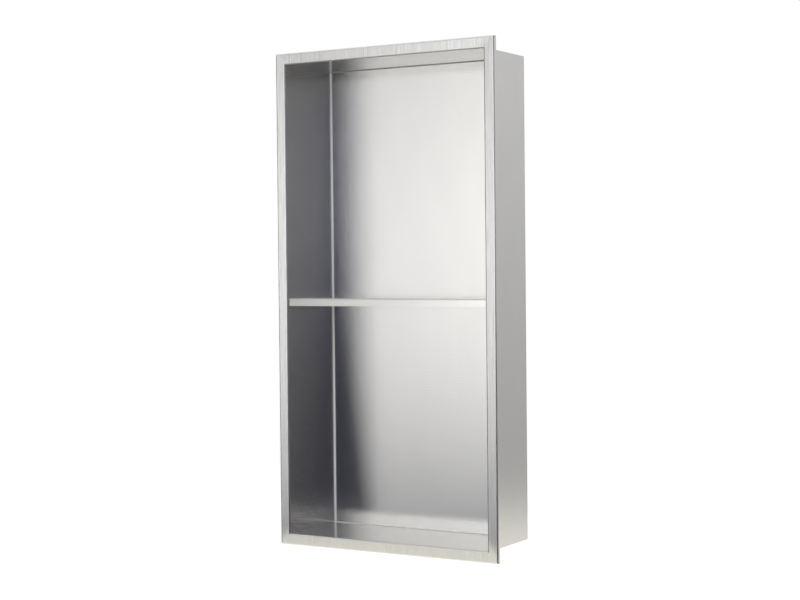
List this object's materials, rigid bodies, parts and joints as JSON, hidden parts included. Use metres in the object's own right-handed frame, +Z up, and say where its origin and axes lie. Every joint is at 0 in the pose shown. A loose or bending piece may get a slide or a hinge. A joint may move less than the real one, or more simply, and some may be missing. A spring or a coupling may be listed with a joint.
{
  "type": "shower niche insert",
  "caption": "Tall recessed wall niche folded from brushed stainless sheet, with a flat flange turned back at its edge and a fixed mid-height shelf, for bottles in a shower.",
  "frame": {"origin": "middle of the opening, in the plane of the finished wall that the turned-back flange edge closes against", "axes": "+X to the right facing the niche, +Y into the wall, +Z up"},
  "size_m": [0.305, 0.105, 0.61],
  "materials": {
    "brushed_stainless": "satin, brushed with a straight fine grain"
  },
  "bodies": {
    "root": {"niche_body": "brushed_stainless", "shelf": "brushed_stainless"}
  },
  "joints": []
}
